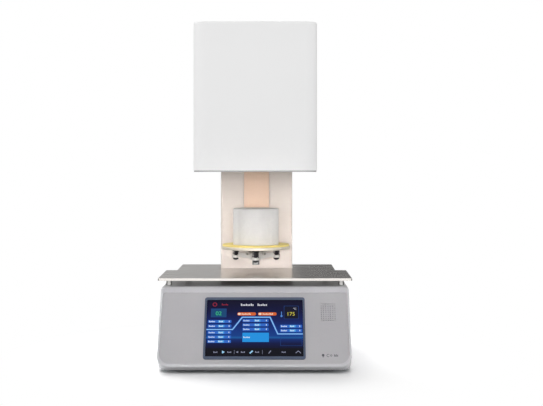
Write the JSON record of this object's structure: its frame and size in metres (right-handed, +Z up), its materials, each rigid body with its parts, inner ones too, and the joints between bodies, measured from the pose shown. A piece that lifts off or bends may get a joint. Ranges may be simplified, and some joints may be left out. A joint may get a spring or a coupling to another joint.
{
  "type": "dental lab furnace",
  "caption": "Bench-top dental firing furnace: wedge base with touch display, column lift that raises a sprung ceramic pedestal into a heated head.",
  "frame": {"origin": "on the surface that the feet stand on, straight below the axis of the firing pedestal", "axes": "+Z up, -Y towards the operator (the display side), +X to the operator's right"},
  "size_m": [0.3108, 0.3636, 0.5507],
  "materials": {
    "base_silver": "fine satin silver-grey paint",
    "panel_grey": "satin silver-grey paint",
    "bezel_blue": "semi-gloss blue-grey",
    "screen_glass": "smooth cover glass over a lit display",
    "display_black": "matt black",
    "zinc_sheet": "zinc-plated sheet",
    "black_rubber": "matt moulded rubber",
    "bright_screw": "bright-plated screws",
    "plate_steel": "satin brushed sheet",
    "polished_steel": "turned and polished",
    "column_steel": "brushed across, satin",
    "bar_steel": "ground, slightly warm",
    "machined_steel": "machined",
    "spring_steel": "blackened spring wire",
    "gasket_yellow": "matt silicone",
    "white_ceramic": "matt fired ceramic",
    "insulation_white": "fibrous moulded board",
    "machined_aluminium": "machined",
    "ground_rod": "ground and hardened",
    "bronze": "machined bronze",
    "motor_black": "matt black",
    "head_white": "smooth semi-gloss white",
    "case_sheet": "mill-finish sheet",
    "quartz": "frosted quartz",
    "heater_alloy": "oxidised resistance wire",
    "probe_metal": "drawn sheath",
    "hose_rubber": "smooth hose",
    "board_green": "solder mask",
    "fitting_black": "moulded black"
  },
  "bodies": {
    "stand": {"base_housing": "base_silver", "control_panel": "panel_grey", "display_bezel": "bezel_blue", "touch_glass": "screen_glass", "lcd_module": "display_black", "speaker": "display_black", "bottom_pan": "zinc_sheet", "column_angles": "zinc_sheet", "guide_channel": "zinc_sheet", "motor_bracket": "zinc_sheet", "head_bottom_plate": "zinc_sheet", "head_trim_plate": "zinc_sheet", "rubber_feet": "black_rubber", "foot_screws": "bright_screw", "cover_screws": "bright_screw", "work_plate": "plate_steel", "plate_standoffs": "polished_steel", "column_shell": "column_steel", "column_rear_cover": "column_steel", "seal_seat": "machined_steel", "insulation_block": "insulation_white", "rod_blocks": "machined_aluminium", "thrust_block": "machined_aluminium", "heat_sink": "machined_aluminium", "guide_rods": "ground_rod", "lift_motor": "motor_black", "head_shell": "head_white", "head_rear_cover": "head_white", "muffle_case": "case_sheet", "power_supply": "case_sheet", "quartz_liner": "quartz", "heater_coil": "heater_alloy", "heater_leads": "heater_alloy", "thermocouple": "probe_metal", "vacuum_elbow": "probe_metal", "vacuum_port": "probe_metal", "vacuum_hose": "hose_rubber", "control_board": "board_green", "fan_frame": "fitting_black", "power_inlet": "fitting_black", "switch_frame": "fitting_black", "fuse_holders": "fitting_black"},
    "lift": {"slider_bar": "bar_steel", "table_arm": "machined_steel", "lift_screws": "bright_screw", "spider": "machined_steel", "hub_knob": "polished_steel", "carriage_block": "machined_aluminium", "carriage_bushes": "bronze", "lead_nut": "bronze", "table_springs": "spring_steel"},
    "screw": {"lead_screw": "ground_rod", "motor_shaft": "ground_rod", "shaft_coupling": "machined_aluminium"},
    "table": {"flange_studs": "bright_screw", "table_flange": "machined_steel", "table_gasket": "gasket_yellow"},
    "pedestal": {"firing_pedestal": "white_ceramic"},
    "fan": {"fan_rotor": "fitting_black"},
    "rocker": {"switch_rocker": "fitting_black"}
  },
  "joints": [
    {"name": "lift_slide", "type": "slide", "parent": "stand", "child": "lift", "axis": [0, 0, 1], "range_m": [0, 0.124]},
    {"name": "screw_turn", "type": "hinge", "parent": "stand", "child": "screw", "pos_m": [0, 0.106, 0.1], "axis": [0, 0, -1], "range_deg": [0, 5585]},
    {"name": "table_give", "type": "slide", "parent": "lift", "child": "table", "axis": [0, 0, 1], "range_m": [-0.002, 0], "stiffness_N_per_m": 15000, "springref_m": 0.004, "deforming": ["table_springs"]},
    {"name": "pedestal_lift_off", "type": "slide", "parent": "table", "child": "pedestal", "axis": [0, 0, 1], "range_m": [0, 0.03]},
    {"name": "fan_spin", "type": "hinge", "parent": "stand", "child": "fan", "pos_m": [0.1, 0.155, 0.07], "axis": [0, 1, 0], "continuous": true},
    {"name": "switch_rock", "type": "hinge", "parent": "stand", "child": "rocker", "pos_m": [-0.06, 0.1635, 0.035], "axis": [-1, 0, 0], "range_deg": [0, 20]}
  ],
  "couplings": [
    {"joint": "screw_turn", "follows": "lift_slide", "rad_per_m": 785.4}
  ]
}
